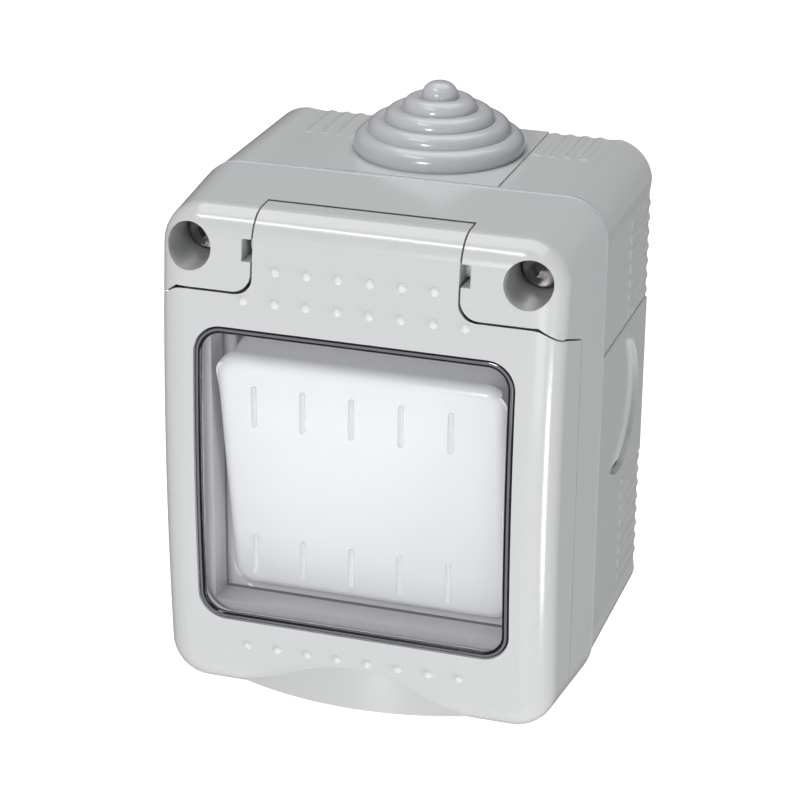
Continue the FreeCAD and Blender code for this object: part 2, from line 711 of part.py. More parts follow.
def build_lid():
    body = new_body("lid")
    outer_form(body, s.ledge_depth + s.lid_edge_gap)
    for side in SIDES:
        post = new_sketch(body, "front", s.ledge_depth)
        outline(post, [
            (side * lid_post_edge, far_up),
            (side * lid_post_edge, lid_shoulder),
            (side * s.shoulder_turn, lid_shoulder),
            (side * s.shoulder_end, shoulder_side - s.lid_gap),
            (side * far_across, shoulder_side - s.lid_gap),
            (side * far_across, far_up),
        ])
        cut(body, post, ahead=True)
        slant = new_sketch(body, "side", side * (s.skirt_inner_edge - s.lid_gap * 2))
        outline(slant, [
            (-s.skirt_front_depth, shoulder_side - s.lid_gap),
            (-s.ledge_depth, skirt_bottom - s.lid_gap),
            (-s.ledge_depth + s.cut_margin, skirt_bottom - s.lid_gap),
            (-s.ledge_depth + s.cut_margin, far_up),
            (-s.skirt_front_depth, far_up),
        ])
        cut(body, slant, ahead=side > 0)

    def shoulder_corner(edge):
        centre = edge.BoundBox.Center
        across = abs(abs(centre.x) - lid_post_edge.number) < 0.01
        return along_depth(edge) and across and abs(centre.z - lid_shoulder.number) < 0.01

    round_edges(body, s.lid_corner_radius, shoulder_corner)
    hollow_lid(body)
    relieve_shoulders(body)
    window = new_sketch(body, "front", s.lid_plate_depth)
    rectangle(window, -window_half_width, window_half_width,
              s.window_centre - window_half_height, s.window_centre + window_half_height)
    cut(body, window, ahead=True)

    def window_corner(edge):
        centre = edge.BoundBox.Center
        across = abs(abs(centre.x) - window_half_width.number) < 0.01
        upright = abs(abs(centre.z - s.window_centre.number) - window_half_height.number) < 0.01
        return along_depth(edge) and across and upright

    round_edges(body, s.window_radius, window_corner)
    add_lid_tube(body)
    add_hinge_lugs(body)
    add_lip(body)
    add_dots(body)
    return body


def hollow_lid(body):
    cavity = new_sketch(body, "front", s.ledge_depth)
    inner_width = half_width_at(s.lid_plate_depth) - s.lid_wall
    inner_height = half_height_at(s.lid_plate_depth) - s.lid_wall
    cavity_top = s.hinge_height - post_sweep(s.post_bottom) - s.lid_wall
    rectangle(cavity, -inner_width, inner_width, -inner_height, cavity_top)
    cut(body, cavity, s.lid_plate_depth - s.ledge_depth, ahead=True)
    over_deck = new_sketch(body, "front", s.ledge_depth)
    rectangle(over_deck, -inner_width, inner_width, cavity_top - s.lid_wall, far_up)
    cut(body, over_deck, s.deck_depth + s.lid_gap - s.ledge_depth, ahead=True)
    # The tongue is a plate that bends over the top with an even wall.
    bend = s.front_rounding - s.tongue_wall
    tongue = new_sketch(body, "side")
    roof = tongue_top - s.tongue_wall
    outline(tongue, [
        (-s.ledge_depth + s.cut_margin, cavity_top - s.lid_wall),
        (-s.ledge_depth + s.cut_margin, roof),
        (-s.lid_plate_depth + bend, roof, bend, True),
        (-s.lid_plate_depth, roof - bend),
        (-s.lid_plate_depth, cavity_top - s.lid_wall),
    ])
    cut(body, tongue, lid_post_edge * 2, both=True)
    end = new_sketch(body, "side")
    rectangle(end, -s.tongue_end_depth, -s.ledge_depth + s.cut_margin, s.hinge_height, far_up)
    cut(body, end, far_across * 2, both=True)


def relieve_shoulders(body):
    # The shoulder is turned hollow about the hinge, so that it passes under the post and its round corner.
    reach = post_sweep(s.post_bottom)
    ahead = s.skirt_front_depth - s.hinge_depth
    below = s.hinge_height - shoulder_side
    far_reach = root(ahead * ahead + below * below) + s.swing_clearance
    bend = s.post_corner_radius
    relief = new_sketch(body, "level", s.hinge_height)
    relief.AttachmentOffset.Base = FreeCAD.Vector(0, -s.hinge_depth.number, s.hinge_height.number)
    relief.setExpression("AttachmentOffset.Base.y", (-s.hinge_depth).text)
    for side in SIDES:
        outline(relief, [
            (side * lid_post_edge, s.trunnion_radius),
            (side * far_across, s.trunnion_radius),
            (side * far_across, far_reach),
            (side * s.shoulder_end, far_reach),
            (side * s.shoulder_turn, reach),
            (side * (lid_post_edge + bend), reach, bend, side > 0),
            (side * lid_post_edge, reach - bend),
        ])
    hollow = body.newObject("PartDesign::Groove", "shoulder_relief")
    hollow.Profile = relief
    hollow.ReferenceAxis = (relief, ["H_Axis"])
    hollow.Angle = 360
    doc.recompute()


def framed(sketch, outer, inner):
    for width, height in (outer, inner):
        rectangle(sketch, -width, width, s.window_centre - height, s.window_centre + height)


retainer_inner = (window_half_width - s.rim_width, window_half_height - s.rim_width)
retainer_outer = tuple(half + s.retainer_wall for half in retainer_inner)
tube_inner = tuple(half + s.membrane_play for half in retainer_outer)
tube_outer = tuple(half + s.lid_tube_wall for half in tube_inner)


def add_lid_tube(body):
    tube = new_sketch(body, "front", s.retainer_end_depth)
    framed(tube, tube_outer, tube_inner)
    pad(body, tube, s.lid_plate_depth - s.retainer_end_depth)


def add_hinge_lugs(body):
    for side in SIDES:
        pad(body, hinge_circle(body, side * lid_post_edge, s.lug_radius), s.lug_width, back=side > 0)
        pad(body, hinge_circle(body, side * lid_post_edge, s.trunnion_radius), s.trunnion_length,
            back=side < 0)


def add_lip(body):
    # The finger lip is lofted from a wide shallow arc below to a narrow one above.
    sections = []
    for height, depth, half in ((s.lip_bottom, s.lip_depth, s.lip_half_width),
                                (s.lip_top, s.lip_top_depth, s.lip_top_half_width)):
        section = new_sketch(body, "level", height)
        ends = s.lip_radius - root(s.lip_radius * s.lip_radius - half * half) - depth
        outline(section, [(-half, ends, s.lip_radius, True), (half, ends)])
        sections.append(section)
    lip = body.newObject("PartDesign::AdditiveLoft", "lip")
    lip.Profile = sections[0]
    lip.Sections = sections[1:]
    lip.Ruled = True
    doc.recompute()


def add_dots(body):
    rows = (
        (s.dot_row_top, s.dots_in_short_row),
        (s.dot_row_middle, s.dots_in_long_row),
        (s.dot_row_bottom, s.dots_in_long_row),
    )
    for height, count in rows:
        length = s.dot_pitch * (count - 1)
        dot = body.newObject("PartDesign::AdditiveSphere", "dot")
        bind(dot, "Radius", s.dot_radius)
        depth = crown_depth(height) - s.dot_sink
        place = FreeCAD.Vector(-length.number / 2, -depth.number, height.number)
        dot.AttachmentOffset = FreeCAD.Placement(place, FreeCAD.Rotation())
        dot.AttachmentSupport = (origin_feature(body, "XY_Plane"), [""])
        dot.MapMode = "FlatFace"
        dot.setExpression("AttachmentOffset.Base.x", (-length / 2).text)
        dot.setExpression("AttachmentOffset.Base.y", (-depth).text)
        dot.setExpression("AttachmentOffset.Base.z", height.text)
        doc.recompute()
        pattern(body, dot, "X_Axis", length, count)
        doc.recompute()


def build_window_membrane():
    body = new_body("window_membrane")
    half_width = window_half_width - s.membrane_play
    half_height = window_half_height - s.membrane_play
    low = s.window_centre - half_height
    high = s.window_centre + half_height
    inset = s.membrane_inset
    outer_radius = s.crown_radius - inset
    inner_radius = outer_radius - s.membrane_thickness
    flange_back = s.lid_plate_depth - s.flange_thickness
    flange = new_sketch(body, "front", flange_back)
    framed(flange, retainer_outer, retainer_inner)
    pad(body, flange, s.flange_thickness - s.membrane_play)
    rim = new_sketch(body, "front", flange_back)
    framed(rim, (half_width, half_height), retainer_inner)
    pad(body, rim, crown_depth(high, inset) - flange_back)
    sheet_profile = new_sketch(body, "side")
    outline(sheet_profile, [
        (-crown_depth(low, inset), low, outer_radius, False),
        (-crown_depth(high, inset), high),
        (-crown_depth(high, inset + s.membrane_thickness), high, inner_radius, True),
        (-crown_depth(low, inset + s.membrane_thickness), low),
    ])
    pad(body, sheet_profile, half_width * 2, both=True)

    def membrane_corner(edge):
        centre = edge.BoundBox.Center
        across = abs(abs(centre.x) - half_width.number) < 0.01
        upright = min(abs(centre.z - low.number), abs(centre.z - high.number)) < 0.01
        return along_depth(edge) and across and upright

    round_edges(body, s.window_radius - s.membrane_play, membrane_corner)
    add_ribs(body)
    return body


def add_ribs(body):
    # Five short ribs stand in a row above the window's middle and five below.
    for end in SIDES:
        middle = s.window_centre + end * s.rib_row_offset
        for place in (-2, -1, 0, 1, 2):
            foot = crown_depth(middle, s.membrane_inset + s.membrane_thickness / 2)
            rib = new_sketch(body, "front", foot)
            across = place * s.rib_pitch if place else as_size(0)
            rectangle(rib, across - s.rib_width / 2, across + s.rib_width / 2,
                      middle - s.rib_length / 2, middle + s.rib_length / 2)
            pad(body, rib, s.membrane_thickness / 2 + s.rib_rise)


def build_window_retainer():
    body = new_body("window_retainer")
    ring = new_sketch(body, "front", s.retainer_end_depth)
    framed(ring, retainer_outer, retainer_inner)
    pad(body, ring, s.lid_plate_depth - s.flange_thickness - s.retainer_end_depth)
    return body


def build_lid_seal():
    body = new_body("lid_seal")
    ring = new_sketch(body, "front", s.deck_depth + s.seal_gap)
    framed(ring, tuple(half + s.seal_width for half in retainer_inner), retainer_inner)
    pad(body, ring, s.retainer_end_depth - s.deck_depth - s.seal_gap)
    return body


def build_screws(label, groups, end, radius, head_radius, head_height):
    # Each group of screws shares the depth of its seat.
    body = new_body(label)
    body.AllowCompound = True
    for places, seat in groups:
        shanks = new_sketch(body, "front", end)
        for across, up in places:
            circle(shanks, across, up, radius)
        pad(body, shanks, seat - end)
        heads = new_sketch(body, "front", seat)
        for across, up in places:
            circle(heads, across, up, head_radius)
        pad(body, heads, head_height)
    return body


def build_rocker():
    # Modelled upright about its pivot, then tipped to the position with its upper edge out.
    body = new_body("rocker")
    block = new_sketch(body, "front", s.rocker_skirt_reach)
    rectangle(block, -rocker_half_width, rocker_half_width, -rocker_half_height, rocker_half_height)
    pad(body, block, s.rocker_reach - s.rocker_skirt_reach)
    doc.recompute()
    round_edges(body, s.rocker_corner_radius, along_depth)
    front = min(body.Tip.Shape.Faces, key=lambda face: face.CenterOfMass.y)
    round_edges(body, s.rocker_edge_radius, lambda edge: any(edge.isSame(other) for other in front.Edges))
    hollow = new_sketch(body, "front", s.rocker_skirt_reach)
    inner_width = rocker_half_width - s.rocker_wall
    inner_height = rocker_half_height - s.rocker_wall
    rectangle(hollow, -inner_width, inner_width, -inner_height, inner_height)
    cut(body, hollow, s.rocker_reach - s.rocker_plate - s.rocker_skirt_reach, ahead=True)
    ear_inner = s.insert_half_width - s.insert_wall
    for side in SIDES:
        lug = new_sketch(body, "side", side * inner_width)
        outline(lug, [
            (s.pivot_lug_radius / 2, -s.pivot_lug_radius),
            (s.pivot_lug_radius / 2, s.pivot_lug_radius),
            (-s.rocker_skirt_reach - s.rocker_wall, s.pivot_lug_radius),
            (-s.rocker_skirt_reach - s.rocker_wall, -s.pivot_lug_radius),
        ])
        pad(body, lug, s.rocker_wall, back=side < 0)
        pin = new_sketch(body, "side", side * inner_width)
        circle(pin, 0, 0, s.pivot_radius)
        pad(body, pin, inner_width - ear_inner, back=side > 0)
    hub = new_sketch(body, "front", s.hub_reach)
    circle(hub, 0, 0, s.hub_radius)
    pad(body, hub, s.rocker_reach - s.rocker_plate - s.hub_reach)
    bore = new_sketch(body, "front", s.hub_reach)
    circle(bore, 0, 0, s.plunger_radius + s.plunger_play)
    cut(body, bore, s.rocker_reach - s.rocker_plate - s.hub_reach, ahead=True)
    return body


def build_plunger():
    body = new_body("plunger")
    profile = new_sketch(body, "side")
    tip = s.plunger_tip_reach
    outline(profile, [
        (-s.plunger_top_reach, 0),
        (tip, 0, s.plunger_radius, True),
        (tip - s.plunger_radius, s.plunger_radius),
        (-s.plunger_top_reach, s.plunger_radius),
    ])
    turned(body, profile, "Y_Axis")
    return body


def turned(body, profile, axis):
    feature = body.newObject("PartDesign::Revolution", f"{body.Name}_turned")
    feature.Profile = profile
    feature.ReferenceAxis = (origin_feature(body, axis), [""])
    feature.Angle = 360
    doc.recompute()
    return feature


def build_plunger_spring():
    body = new_body("plunger_spring")
    wire = new_sketch(body, "side")
    start = -s.plunger_top_reach - s.spring_wire
    circle(wire, start, s.plunger_radius - s.spring_wire, s.spring_wire)
    coil = body.newObject("PartDesign::AdditiveHelix", "plunger_spring_coil")
    coil.Profile = wire
    coil.ReferenceAxis = (origin_feature(body, "Y_Axis"), [""])
    coil.Mode = "pitch-height-angle"
    bind(coil, "Pitch", s.spring_pitch)
    room = s.rocker_reach - s.rocker_plate - s.plunger_top_reach
    bind(coil, "Height", room - s.spring_wire * 2)
    coil.Reversed = True
    return body


# The bar rocks about the middle of the fulcrum's round crest.
bar_depth = s.pivot_depth - s.plunger_tip_reach - s.bar_play - s.bar_thickness
bar_offset = s.fulcrum_thickness / 2 + s.fulcrum_gap
bar_pivot_depth = bar_depth - bar_offset
floor_depth = s.insert_back_depth + s.insert_floor
bar_angle = math.radians(s.bar_tilt.number)
rivet_reach = s.contact_thickness - bar_offset
contact_up = s.contact_offset * math.cos(bar_angle) - rivet_reach * math.sin(bar_angle)
contact_down = (s.contact_offset + s.contact_radius) * math.sin(bar_angle) + rivet_reach
contact_seat = bar_pivot_depth - contact_down - s.contact_gap
strip_top = floor_depth + s.strip_thickness
contact_strip = contact_seat - s.contact_thickness


def build_contact_bar():
    body = new_body("contact_bar")
    strip = new_sketch(body, "front", bar_offset)
    rectangle(strip, -s.bar_half_width, s.bar_half_width, -s.bar_half_length, s.bar_half_length)
    pad(body, strip, s.bar_thickness)
    return body


def build_moving_contact():
    body = new_body("moving_contact")
    rivet = new_sketch(body, "front", bar_offset - s.contact_thickness)
    circle(rivet, 0, s.contact_offset, s.contact_radius)
    pad(body, rivet, s.contact_thickness)
    return body


def build_mechanism_body():
    body = new_body("mechanism_body")
    low = s.window_centre - s.insert_half_height
    high = s.window_centre + s.insert_half_height
    block = new_sketch(body, "front", s.insert_back_depth)
    rectangle(block, -s.insert_half_width, s.insert_half_width, low, high)
    pad(body, block, s.insert_front_depth - s.insert_back_depth)
    tabs = new_sketch(body, "front", s.insert_front_depth - s.tab_thickness)
    rectangle(tabs, -s.tab_half_width, s.tab_half_width,
              s.window_centre - s.tab_reach, s.window_centre + s.tab_reach)
    pad(body, tabs, s.tab_thickness)
    ears = new_sketch(body, "front", s.insert_front_depth - s.insert_wall)
    rectangle(ears, -s.insert_half_width, s.insert_half_width,
              s.window_centre - s.ear_half_width, s.window_centre + s.ear_half_width)
    pad(body, ears, s.ear_end_depth - s.insert_front_depth + s.insert_wall)
    cavity = new_sketch(body, "front", floor_depth)
    rectangle(cavity, -s.insert_half_width + s.insert_wall, s.insert_half_width - s.insert_wall,
              low + s.insert_wall, high - s.insert_wall)
    cut(body, cavity, ahead=True)
    bearings = new_sketch(body, "side")
    circle(bearings, -s.pivot_depth, s.window_centre, s.pivot_radius + s.bearing_clearance)
    cut(body, bearings, far_across * 2, both=True)
    holes = new_sketch(body, "front", s.insert_front_depth)
    for up in tab_places:
        circle(holes, 0, up, s.insert_screw_radius)
    cut(body, holes, s.tab_thickness)
    for end in SIDES:
        guide = new_sketch(body, "level", s.window_centre + end * s.insert_half_height)
        circle(guide, end * s.clamp_spread, -(strip_top + s.clamp_height / 2), s.wire_guide_radius)
        cut(body, guide, s.insert_wall, ahead=end < 0)
    return body


def build_common_terminal():
    body = new_body("common_terminal")
    foot = new_sketch(body, "front", floor_depth)
    clamp_up = s.window_centre - s.clamp_offset
    outline(foot, [
        (-s.clamp_spread - s.clamp_half_width, clamp_up - s.clamp_half_width),
        (-s.clamp_spread + s.clamp_half_width, clamp_up - s.clamp_half_width),
        (s.strip_half_width, s.window_centre - s.fulcrum_thickness / 2),
        (s.strip_half_width, s.window_centre + s.fulcrum_thickness / 2),
        (-s.strip_half_width, s.window_centre + s.fulcrum_thickness / 2),
        (-s.clamp_spread - s.clamp_half_width, clamp_up + s.clamp_half_width),
    ])
    pad(body, foot, s.strip_thickness)
    upright = new_sketch(body, "side")
    half = s.fulcrum_thickness / 2
    crest = bar_depth - s.fulcrum_gap
    outline(upright, [
        (-floor_depth, s.window_centre - half),
        (-floor_depth, s.window_centre + half),
        (-crest + half, s.window_centre + half, None, True),
        (-crest + half, s.window_centre - half),
    ])
    pad(body, upright, s.strip_half_width * 2, both=True)
    return body


def build_switched_terminal():
    body = new_body("switched_terminal")
    up = s.window_centre + contact_up
    clamp_up = s.window_centre + s.clamp_offset
    foot = new_sketch(body, "front", floor_depth)
    outline(foot, [
        (-s.strip_half_width, up - s.contact_radius),
        (s.clamp_spread + s.clamp_half_width, clamp_up - s.clamp_half_width),
        (s.clamp_spread + s.clamp_half_width, clamp_up + s.clamp_half_width),
        (-s.strip_half_width, clamp_up + s.clamp_half_width),
    ])
    pad(body, foot, s.strip_thickness)
    upright = new_sketch(body, "front", floor_depth)
    rectangle(upright, -s.strip_half_width, s.strip_half_width,
              up - s.contact_radius, up - s.contact_radius + s.strip_thickness)
    pad(body, upright, contact_strip - floor_depth)
    shelf = new_sketch(body, "front", contact_strip - s.strip_thickness)
    rectangle(shelf, -s.strip_half_width, s.strip_half_width, up - s.contact_radius, up + s.contact_radius)
    pad(body, shelf, s.strip_thickness)
    return body


def build_fixed_contact():
    body = new_body("fixed_contact")
    rivet = new_sketch(body, "front", contact_strip)
    circle(rivet, 0, s.window_centre + contact_up, s.contact_radius)
    pad(body, rivet, s.contact_thickness)
    return body


clamp_places = [(end * s.clamp_spread, s.window_centre + end * s.clamp_offset) for end in SIDES]


def build_terminal_clamps():
    body = new_body("terminal_clamps")
    body.AllowCompound = True
    blocks = new_sketch(body, "front", strip_top)
    for across, up in clamp_places:
        rectangle(blocks, across - s.clamp_half_width, across + s.clamp_half_width,
                  up - s.clamp_half_width, up + s.clamp_half_width)
    pad(body, blocks, s.clamp_height)
    wires = new_sketch(body, "level")
    for across, up in clamp_places:
        circle(wires, across, -(strip_top + s.clamp_height / 2), s.wire_hole_radius)
    cut(body, wires, far_up * 2, both=True)
    threads = new_sketch(body, "front", strip_top + s.clamp_height)
    for across, up in clamp_places:
        circle(threads, across, up, s.clamp_screw_radius)
    cut(body, threads, s.clamp_screw_length)
    return body


def build_cable_grommet():
    # A soft cone of stepped rings is turned about the entry's axis, with a neck that grips the wall.
    body = new_body("cable_grommet")
    profile = new_sketch(body, "front")
    wall_inner = s.box_height / 2 - s.box_wall
    wall_outer = s.box_height / 2
    neck = s.entry_radius - s.grommet_play
    first_top = wall_outer + s.grommet_base_height
    steps = [first_top + s.grommet_step_height * count for count in range(4)]
    top = steps[3] + s.grommet_nub_height
    nub_round = s.grommet_nub_radius * 0.8
    wall = s.grommet_wall
    radii = (s.grommet_base_radius, s.grommet_second_radius, s.grommet_third_radius, s.grommet_top_radius)
    creases = [(radius - s.grommet_crease, height) for radius, height in zip(radii, [wall_outer] + steps)]
    creases.append((s.grommet_nub_radius, steps[3]))
    rings = []
    for (across, low), (inner, high) in zip(creases, creases[1:]):
        run = across - inner
        rise = high - low
        rings.append((across, low, root(run * run + rise * rise) * 0.55, True))
    outline(profile, [
        (neck - s.grommet_wall * 2, wall_inner - s.grommet_flange_thickness),
        (s.grommet_flange_radius, wall_inner - s.grommet_flange_thickness),
        (s.grommet_flange_radius, wall_inner),
        (neck, wall_inner),
        (neck, wall_outer),
        *rings,
        (s.grommet_nub_radius, steps[3]),
        (s.grommet_nub_radius, top - nub_round, nub_round, True),
        (s.grommet_nub_radius - nub_round, top),
        (0, top),
        (0, steps[3] - wall),
        (s.grommet_nub_radius, steps[3] - wall),
        (neck - s.grommet_wall * 2, wall_outer),
    ])
    turned(body, profile, "Z_Axis")
    return body


def tip(body, depth, angle):
    place = FreeCAD.Vector(0, -depth.number, s.window_centre.number)
    body.Placement = FreeCAD.Placement(place, FreeCAD.Rotation(FreeCAD.Vector(1, 0, 0), angle))
    body.setExpression("Placement.Base.y", (-depth).text)
    body.setExpression("Placement.Base.z", s.window_centre.text)


def build_all():
    parts = [
        build_back_box(),
        build_front_frame(),
        build_housing_gasket(),
        build_lid(),
        build_window_membrane(),
        build_window_retainer(),
        build_lid_seal(),
        build_screws("housing_screws", screw_groups, s.screw_end_depth,
                     s.screw_radius, s.screw_head_radius, s.screw_head_height),
        build_mechanism_body(),
        build_screws("mechanism_screws", [([(0, up) for up in tab_places], s.insert_front_depth)],
                     s.insert_screw_end_depth, s.insert_screw_radius,
                     s.insert_screw_head_radius, s.insert_screw_head_height),
        build_common_terminal(),
        build_switched_terminal(),
        build_fixed_contact(),
        build_terminal_clamps(),
        build_screws("terminal_screws", [(clamp_places, strip_top + s.clamp_height)],
                     strip_top + s.clamp_height - s.clamp_screw_length, s.clamp_screw_radius,
                     s.clamp_screw_head_radius, s.clamp_screw_head_height),
    ]
    for build in (build_rocker, build_plunger, build_plunger_spring):
        body = build()
        tip(body, s.pivot_depth, s.rocker_tilt.number)
        parts.append(body)
    for build in (build_contact_bar, build_moving_contact):
        body = build()
        tip(body, bar_pivot_depth, -s.bar_tilt.number)
        parts.append(body)
    grommet = build_cable_grommet()
    grommet.Placement.Base = FreeCAD.Vector(s.entry_across.number, -s.entry_depth.number, 0)
    grommet.setExpression("Placement.Base.x", s.entry_across.text)
    grommet.setExpression("Placement.Base.y", (-s.entry_depth).text)
    parts.append(grommet)
    return parts


def write_parts(parts):
    doc.recompute()
    for item in doc.Objects:
        if "Invalid" in item.State or "Error" in item.State:
            raise RuntimeError(f"{item.Name} failed: {item.State}")
    for body in parts:
        if body.Shape.isNull() or not body.Shape.isValid():
            raise RuntimeError(f"{body.Label} has no valid shape")
    os.makedirs("parts", exist_ok=True)
    for body in parts:
        body.Shape.exportStep(f"parts/{body.Label}.step")
        print(body.Label, len(body.Shape.Solids), round(body.Shape.Volume, 1))


write_parts(build_all())
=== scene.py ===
import math

import bpy
import bmesh
from mathutils import Matrix, Vector


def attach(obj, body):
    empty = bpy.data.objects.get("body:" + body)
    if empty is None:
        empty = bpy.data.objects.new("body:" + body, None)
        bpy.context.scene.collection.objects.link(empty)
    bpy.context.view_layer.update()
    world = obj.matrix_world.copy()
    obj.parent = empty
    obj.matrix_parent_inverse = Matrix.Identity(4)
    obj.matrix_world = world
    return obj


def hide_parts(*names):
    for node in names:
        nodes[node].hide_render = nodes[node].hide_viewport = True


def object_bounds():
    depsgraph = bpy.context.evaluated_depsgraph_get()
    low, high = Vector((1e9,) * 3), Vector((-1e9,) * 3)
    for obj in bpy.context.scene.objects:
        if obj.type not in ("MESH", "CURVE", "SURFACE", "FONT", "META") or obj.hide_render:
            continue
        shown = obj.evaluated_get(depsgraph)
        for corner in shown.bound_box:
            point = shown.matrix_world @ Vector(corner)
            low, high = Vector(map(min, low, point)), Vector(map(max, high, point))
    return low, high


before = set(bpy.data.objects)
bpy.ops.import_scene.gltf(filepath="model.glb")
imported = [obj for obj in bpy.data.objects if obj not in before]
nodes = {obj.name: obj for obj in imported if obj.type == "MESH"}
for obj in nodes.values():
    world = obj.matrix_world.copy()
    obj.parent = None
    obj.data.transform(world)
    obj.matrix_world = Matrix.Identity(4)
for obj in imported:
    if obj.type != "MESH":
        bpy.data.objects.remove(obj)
cadLow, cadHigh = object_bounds()
mm = 0.001
quarterTurn = math.pi / 2
print("frame loaded with", len(nodes), "nodes")


def newMaterial(name, colour, roughness, **values):
    material = bpy.data.materials.new(name)
    material.use_nodes = True
    shader = material.node_tree.nodes["Principled BSDF"]
    shader.inputs["Base Color"].default_value = (*colour, 1.0)
    shader.inputs["Roughness"].default_value = roughness
    for socket, value in values.items():
        shader.inputs[socket.replace("_", " ")].default_value = value
    return material


def newObject(name, build, material):
    mesh = bpy.data.meshes.new(name)
    build.to_mesh(mesh)
    build.free()
    mesh.materials.append(material)
    made = bpy.data.objects.new(name, mesh)
    bpy.context.scene.collection.objects.link(made)
    return made


def newPiece(name, build, body, material, smooth=True):
    piece = newObject(name, build, material)
    for polygon in piece.data.polygons:
        polygon.use_smooth = smooth
    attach(piece, body)
    return piece


shellGrey = newMaterial("shellGrey", (0.575, 0.585, 0.59), 0.16)
# The dots' paler colour is a painted highlight on the lid's own plastic
dotPaintedHighlight = newMaterial("dotPaintedHighlight", (0.69, 0.695, 0.705), 0.2)
sealPale = newMaterial("sealPale", (0.52, 0.56, 0.61), 0.35)
sealDark = newMaterial("sealDark", (0.035, 0.035, 0.04), 0.5)
rockerWhite = newMaterial("rockerWhite", (0.77, 0.78, 0.81), 0.22)
grommetGrey = newMaterial("grommetGrey", (0.51, 0.52, 0.54), 0.2)
screwSteel = newMaterial("screwSteel", (0.55, 0.55, 0.56), 0.28, Metallic=1.0)
# Dark steel for the housing screws: painted shade of the deep wells they sit in
screwPaintedShade = newMaterial("screwPaintedShade", (0.22, 0.21, 0.215), 0.3, Metallic=1.0)
retainerSmoky = newMaterial("retainerSmoky", (0.46, 0.455, 0.47), 0.25)
insertCream = newMaterial("insertCream", (0.66, 0.66, 0.63), 0.5)
brass = newMaterial("brass", (0.78, 0.58, 0.28), 0.3, Metallic=1.0)
silver = newMaterial("silver", (0.8, 0.8, 0.8), 0.2, Metallic=1.0)
paneClear = newMaterial("paneClear", (0.9, 0.9, 0.93), 0.05, Alpha=0.05)
# The grey in the clear ribs is painted shade, standing in for the dark outlines that refraction
# gives their edges
ribClearPaintedShade = newMaterial("ribClearPaintedShade", (0.62, 0.63, 0.66), 0.08, Alpha=0.5, Specular_IOR_Level=0.8)
rimDark = newMaterial("rimDark", (0.012, 0.012, 0.016), 0.15)
# Paler finish for the middle of the rim bead: a painted highlight along its crest
rimPaintedHighlight = newMaterial("rimPaintedHighlight", (0.16, 0.16, 0.18), 0.1, Specular_IOR_Level=0.9)

finishes = {
    "back_box": shellGrey,
    "front_frame": shellGrey,
    "lid": shellGrey,
    "window_retainer": retainerSmoky,
    "housing_gasket": sealPale,
    "lid_seal": sealDark,
    "rocker": rockerWhite,
    "cable_grommet": grommetGrey,
    "mechanism_screws": screwSteel,
    "terminal_screws": screwSteel,
    "plunger_spring": screwSteel,
    "mechanism_body": insertCream,
    "plunger": insertCream,
    "common_terminal": brass,
    "switched_terminal": brass,
    "terminal_clamps": brass,
    "contact_bar": brass,
    "fixed_contact": silver,
    "moving_contact": silver,
}
for name, material in finishes.items():
    for slot in nodes[name].material_slots:
        slot.material = material
print("finishes set")

# Outlines that the rim and the rocker's face are made from, all sizes in millimetres
outline = {"cornerSteps": 14, "sideSteps": 16}


def pointAt(across, depth, height):
    return Vector((across, -depth, height)) * mm


def turnOutwards(build):
    build.normal_update()
    bmesh.ops.recalc_face_normals(build, faces=build.faces)


def firstRing(build, shape, reach):
    # A flat face with rounded corners, its sides cut into short runs.
    halfWidth, halfHeight, corner = shape
    bmesh.ops.create_grid(build, x_segments=1, y_segments=1, size=1.0)
    bmesh.ops.scale(build, vec=(halfWidth, halfHeight, 1.0), verts=build.verts)
    bmesh.ops.bevel(build, geom=build.verts[:], offset=corner, affect="VERTICES",
                    segments=outline["cornerSteps"], profile=0.5, material=-1)
    sides = [edge for edge in build.edges if edge.calc_length() > corner]
    bmesh.ops.subdivide_edges(build, edges=sides, cuts=outline["sideSteps"] - 1)
    for vert in build.verts:
        vert.co.z = reach(vert.co.x, vert.co.y)
    return build.edges[:]


def nextRing(build, edges):
    # A copy of the ring, joined to it by a wall.
    made = bmesh.ops.extrude_edge_only(build, edges=edges)["geom"]
    verts = [part for part in made if isinstance(part, bmesh.types.BMVert)]
    edges = [part for part in made if isinstance(part, bmesh.types.BMEdge) and part.is_boundary]
    return verts, edges


def growRing(build, edges, old, new, reach):
    # A wall from a ring of one outline to the matching points of another.
    verts, edges = nextRing(build, edges)
    for vert in verts:
        for axis in (0, 1):
            oldCore, newCore = old[axis] - old[2], new[axis] - new[2]
            core = max(-oldCore, min(vert.co[axis], oldCore))
            past = vert.co[axis] - core
            vert.co[axis] = core * newCore / oldCore + past * new[2] / old[2]
        vert.co.z = reach(vert.co.x, vert.co.y)
    return edges


# Window
window = {
    "halfWidth": 25.45, "halfHeight": 24.775, "centre": -2.46, "corner": 4.4,
    "crownRadius": 344.0, "frontDepth": 55.6, "inset": 0.3,
    "rimWidth": 1.15, "rimBulge": 0.42, "rimSteps": 18, "rimMerge": 0.001,
    # The paler part of the bead is a painted highlight along its crest.
    "paintedHighlightFrom": -0.3, "paintedHighlightTo": 0.55,  # the part of the bead that is paler
    "paneThickness": 0.5, "paneColumns": 8, "paneRows": 96,
}
rib = {
    "length": 6.8, "width": 0.95, "rise": 0.35, "pitch": 7.85, "rowOffset": 12.5,
    "places": (-2, -1, 0, 1, 2), "around": 24, "upDown": 16,
}


def crownDepth(height, inset=0.0):
    radius = window["crownRadius"] - inset
    rise = height - window["centre"]
    return window["frontDepth"] - window["crownRadius"] + math.sqrt(radius * radius - rise * rise)


def beadRise(rise, offset):
    # The bead's middle line beside a point of its skin that lies this far outside the line.
    straight = window["halfHeight"] - window["corner"]
    radius = window["corner"] - window["rimWidth"] / 2
    past = max(abs(rise) - straight, 0.0)
    return math.copysign(min(abs(rise), straight) + past * radius / (radius + offset), rise)


def rimDepth(rise, angle):
    middle = window["centre"] + beadRise(rise, window["rimWidth"] / 2 * math.cos(angle))
    bulge = window["rimBulge"]
    return crownDepth(middle, window["inset"] + bulge / 2) + bulge * math.sin(angle)


